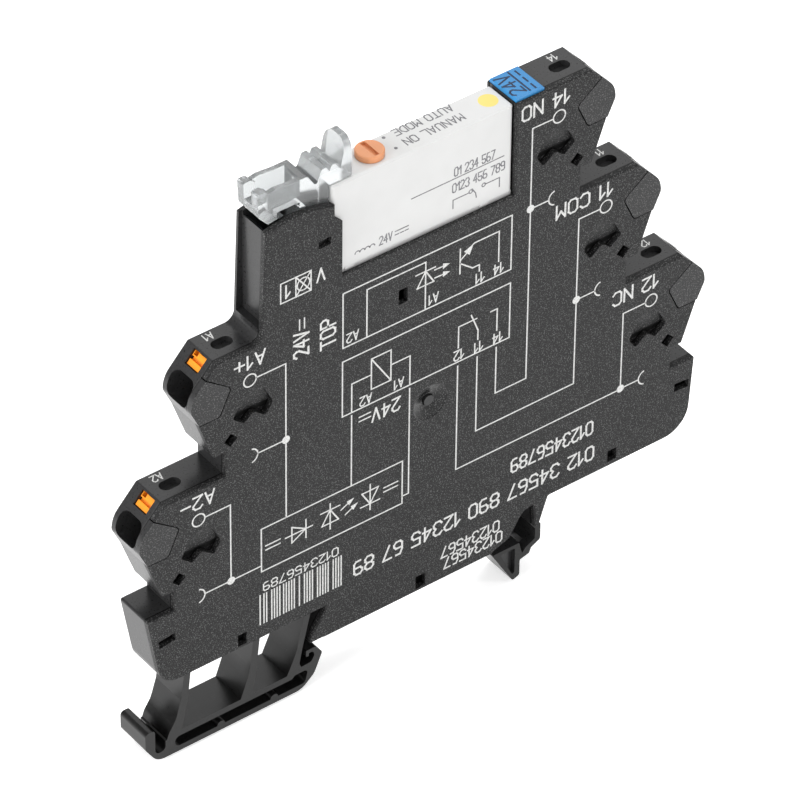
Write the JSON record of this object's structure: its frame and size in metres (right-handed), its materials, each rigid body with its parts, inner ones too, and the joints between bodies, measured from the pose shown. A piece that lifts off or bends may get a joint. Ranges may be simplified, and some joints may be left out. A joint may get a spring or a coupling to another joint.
{
  "type": "relay_module",
  "caption": "Slim rail relay module with stepped push-in terminals, plug-in relay, clear retaining lever and spring rail foot",
  "frame": {"origin": "on the seat face that rests on the rail, at the middle of the 35 mm rail", "axes": "X across the rail towards the contact terminals, Y along the rail away from the printed cover, Z away from the rail"},
  "size_m": [0.0897, 0.0062, 0.0858],
  "materials": {
    "body_black": "satin",
    "cover_grey": "fine texture",
    "foot_black": "satin",
    "clear_plastic": "frosted",
    "relay_white": "satin",
    "nylon": "satin",
    "copper_wire": "enamelled",
    "iron": "plain",
    "tinned": "tinned",
    "knob_orange": "satin",
    "button_orange": "satin",
    "marker_blue": "satin",
    "board_green": "lacquered",
    "chip_black": "moulded",
    "led_clear": "clear",
    "spring_steel": "spring"
  },
  "bodies": {
    "housing": {"housing": "body_black", "side_cover": "cover_grey", "relay_case": "relay_white", "relay_base": "relay_white", "relay_bobbin": "nylon", "relay_winding": "copper_wire", "relay_yoke": "iron", "relay_pin_a1": "tinned", "relay_pin_a2": "tinned", "relay_contact_11": "tinned", "relay_contact_12": "tinned", "relay_contact_14": "tinned", "marker_tag": "marker_blue", "circuit_board": "board_green", "rectifier": "chip_black", "suppressor_diode": "chip_black", "series_resistor": "chip_black", "status_led": "led_clear", "coil_socket_a1": "tinned", "coil_socket_a2": "tinned", "clamp_spring_a1": "spring_steel", "clamp_spring_a2": "spring_steel", "clamp_spring_11": "spring_steel", "clamp_spring_12": "spring_steel", "clamp_spring_14": "spring_steel", "current_bar_a1": "tinned", "current_bar_a2": "tinned", "current_bar_11": "tinned", "current_bar_12": "tinned", "current_bar_14": "tinned"},
    "retaining_lever": {"retaining_lever": "clear_plastic"},
    "manual_knob": {"manual_knob": "knob_orange"},
    "rail_foot": {"rail_foot": "foot_black"},
    "relay_armature": {"relay_armature": "iron"},
    "release_button_a1": {"release_button_a1": "button_orange"},
    "release_button_a2": {"release_button_a2": "button_orange"},
    "release_button_11": {"release_button_11": "button_orange"},
    "release_button_12": {"release_button_12": "button_orange"},
    "release_button_14": {"release_button_14": "button_orange"}
  },
  "joints": [
    {"name": "lever_hinge", "type": "hinge", "parent": "housing", "child": "retaining_lever", "pos_m": [-0.0193, 0, 0.0544], "axis": [0, -1, 0], "range_deg": [0, 18]},
    {"name": "knob_turn", "type": "hinge", "parent": "housing", "child": "manual_knob", "pos_m": [-0.00605, 0, 0.0724], "axis": [0, 0, 1], "range_deg": [0, 90]},
    {"name": "foot_slide", "type": "slide", "parent": "housing", "child": "rail_foot", "axis": [-1, 0, 0], "range_m": [0, 0.0025], "stiffness_N_per_m": 4000},
    {"name": "armature_hinge", "type": "hinge", "parent": "housing", "child": "relay_armature", "pos_m": [0.00125, 0, 0.06695], "axis": [0, 1, 0], "range_deg": [0, 3], "stiffness_Nm_per_rad": 0.02},
    {"name": "button_a1_press", "type": "slide", "parent": "housing", "child": "release_button_a1", "axis": [0.7431, 0, -0.6691], "range_m": [0, 0.0015], "stiffness_N_per_m": 1500, "deforming": ["clamp_spring_a1"]},
    {"name": "button_a2_press", "type": "slide", "parent": "housing", "child": "release_button_a2", "axis": [0.7431, 0, -0.6691], "range_m": [0, 0.0015], "stiffness_N_per_m": 1500, "deforming": ["clamp_spring_a2"]},
    {"name": "button_11_press", "type": "slide", "parent": "housing", "child": "release_button_11", "axis": [-0.7431, 0, -0.6691], "range_m": [0, 0.0015], "stiffness_N_per_m": 1500, "deforming": ["clamp_spring_11"]},
    {"name": "button_12_press", "type": "slide", "parent": "housing", "child": "release_button_12", "axis": [-0.7431, 0, -0.6691], "range_m": [0, 0.0015], "stiffness_N_per_m": 1500, "deforming": ["clamp_spring_12"]},
    {"name": "button_14_press", "type": "slide", "parent": "housing", "child": "release_button_14", "axis": [-0.7431, 0, -0.6691], "range_m": [0, 0.0015], "stiffness_N_per_m": 1500, "deforming": ["clamp_spring_14"]}
  ]
}
